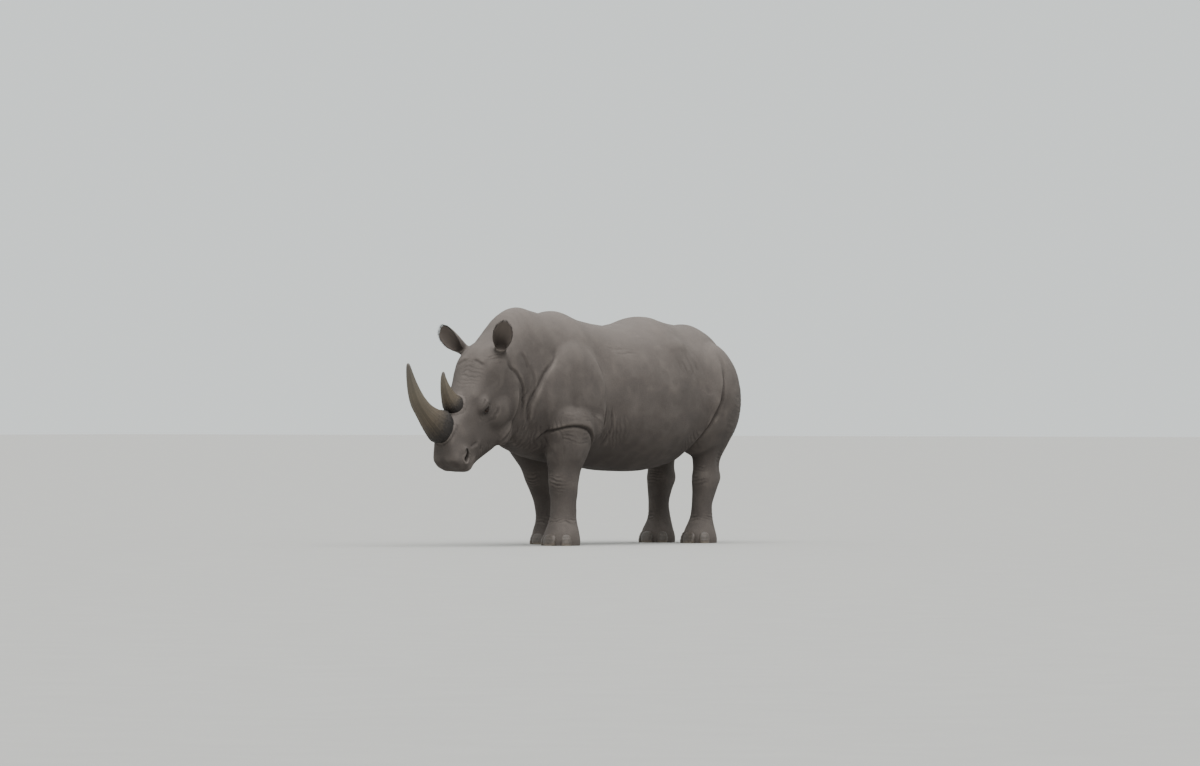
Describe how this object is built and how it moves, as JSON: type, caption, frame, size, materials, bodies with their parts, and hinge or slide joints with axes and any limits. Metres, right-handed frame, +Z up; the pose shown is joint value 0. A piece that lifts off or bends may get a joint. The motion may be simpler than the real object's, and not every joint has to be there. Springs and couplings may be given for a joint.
{
  "type": "white rhinoceros",
  "caption": "Life-size still model of a grazing white rhinoceros, standing with its head low, for display on a floor.",
  "frame": {"origin": "on the floor, under the middle of the model's box", "axes": "+X towards the animal's left, +Y towards its tail (the nose points to -Y), +Z up"},
  "size_m": [0.979, 3.464, 1.7646],
  "materials": {
    "hide": "matte, wrinkled",
    "horn": "fibrous, worn smooth at the tip",
    "nail": "matte",
    "eye": "wet gloss",
    "bristle": "stiff hair"
  },
  "bodies": {
    "root": {"head": "hide", "lower_jaw": "hide", "neck": "hide", "trunk": "hide", "tail": "hide", "ear_left": "hide", "ear_right": "hide", "foreleg_left_forearm": "hide", "foreleg_left_shin": "hide", "foreleg_left_foot": "hide", "hindleg_left_thigh": "hide", "hindleg_left_shank": "hide", "hindleg_left_foot": "hide", "foreleg_right_forearm": "hide", "foreleg_right_shin": "hide", "foreleg_right_foot": "hide", "hindleg_right_thigh": "hide", "hindleg_right_shank": "hide", "hindleg_right_foot": "hide", "horn_front": "horn", "horn_rear": "horn", "foreleg_left_nail_inner": "nail", "foreleg_left_nail_middle": "nail", "foreleg_left_nail_outer": "nail", "foreleg_right_nail_inner": "nail", "foreleg_right_nail_middle": "nail", "foreleg_right_nail_outer": "nail", "hindleg_left_nail_inner": "nail", "hindleg_left_nail_middle": "nail", "hindleg_left_nail_outer": "nail", "hindleg_right_nail_inner": "nail", "hindleg_right_nail_middle": "nail", "hindleg_right_nail_outer": "nail", "eye_left": "eye", "eye_right": "eye", "tail_brush": "bristle"}
  },
  "joints": []
}
